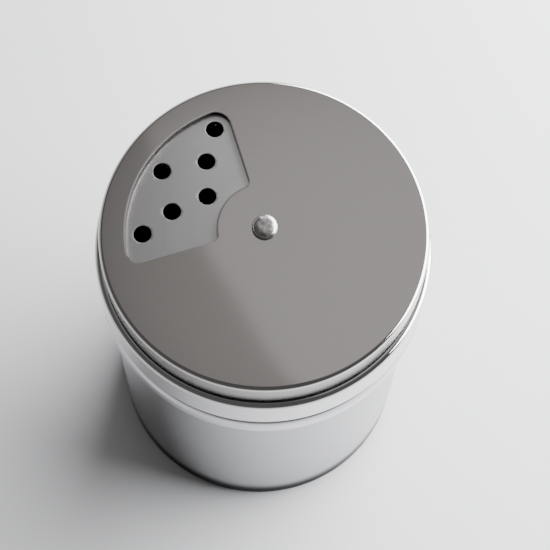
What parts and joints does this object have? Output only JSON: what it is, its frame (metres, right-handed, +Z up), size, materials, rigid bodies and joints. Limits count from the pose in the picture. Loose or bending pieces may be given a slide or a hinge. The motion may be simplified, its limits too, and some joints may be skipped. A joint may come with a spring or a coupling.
{
  "type": "spice shaker with a turning cover",
  "caption": "Round steel table shaker: a straight jar with a bead, a stepped screw lid with groups of shaking holes, and a riveted top cover whose window turns to open or shut them.",
  "frame": {"origin": "centre of the base, on the surface that the jar stands on", "axes": "+Z up along the jar's axis; +Y away from the viewer of the picture, +X to the right"},
  "size_m": [0.0754, 0.0754, 0.1042],
  "materials": {
    "jar_steel": "satin stainless steel",
    "lid_steel": "polished stainless steel",
    "cover_steel": "fine satin stainless steel",
    "rivet_steel": "hammered bright steel",
    "spring_steel": "plain spring steel",
    "seal_rubber": "soft white silicone"
  },
  "bodies": {
    "jar": {"jar": "jar_steel"},
    "seal": {"lid_seal": "seal_rubber"},
    "lid": {"screw_lid": "lid_steel", "pivot_rivet": "rivet_steel", "wave_washer": "spring_steel", "backing_washer": "spring_steel"},
    "cover": {"rotating_cover": "cover_steel"}
  },
  "joints": [
    {"name": "lid_rise", "type": "slide", "parent": "jar", "child": "seal", "axis": [0, 0, 1], "range_m": [0, 0.01334]},
    {"name": "lid_turn", "type": "hinge", "parent": "seal", "child": "lid", "pos_m": [0, 0, 0.086], "axis": [0, 0, 1], "range_deg": [0, 1200]},
    {"name": "cover_turn", "type": "hinge", "parent": "lid", "child": "cover", "pos_m": [0, 0, 0.1024], "axis": [0, 0, 1], "continuous": true}
  ],
  "couplings": [
    {"joint": "lid_rise", "follows": "lid_turn", "m_per_rad": 0.00063662}
  ]
}
